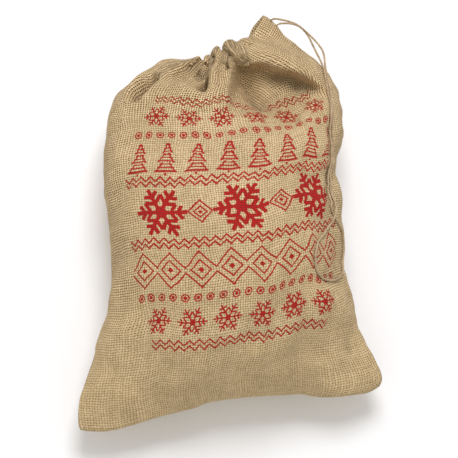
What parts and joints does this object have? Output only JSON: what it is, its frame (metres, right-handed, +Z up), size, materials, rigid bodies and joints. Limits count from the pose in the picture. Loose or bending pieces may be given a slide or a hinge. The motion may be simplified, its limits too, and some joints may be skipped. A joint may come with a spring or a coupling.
{
  "type": "hessian drawstring sack",
  "caption": "Hessian sack filled out and lying on its back, gathered at its hem to a small open mouth, with a looped twine drawstring.",
  "frame": {"origin": "a point on the flat underside of the sack's back, on the surface that it lies on, near the middle of its belly", "axes": "+Z up, out of the sack's front; +Y from the bottom fold towards the mouth; +X towards the sack's right side as the front is read"},
  "size_m": [0.2895, 0.3754, 0.1363],
  "materials": {
    "hessian": "coarse plain-woven jute, matt, with a red print on the front",
    "twine": "two-ply jute twine, matt and slightly hairy"
  },
  "bodies": {
    "root": {"sack_cloth": "hessian", "drawstring": "twine"}
  },
  "joints": []
}
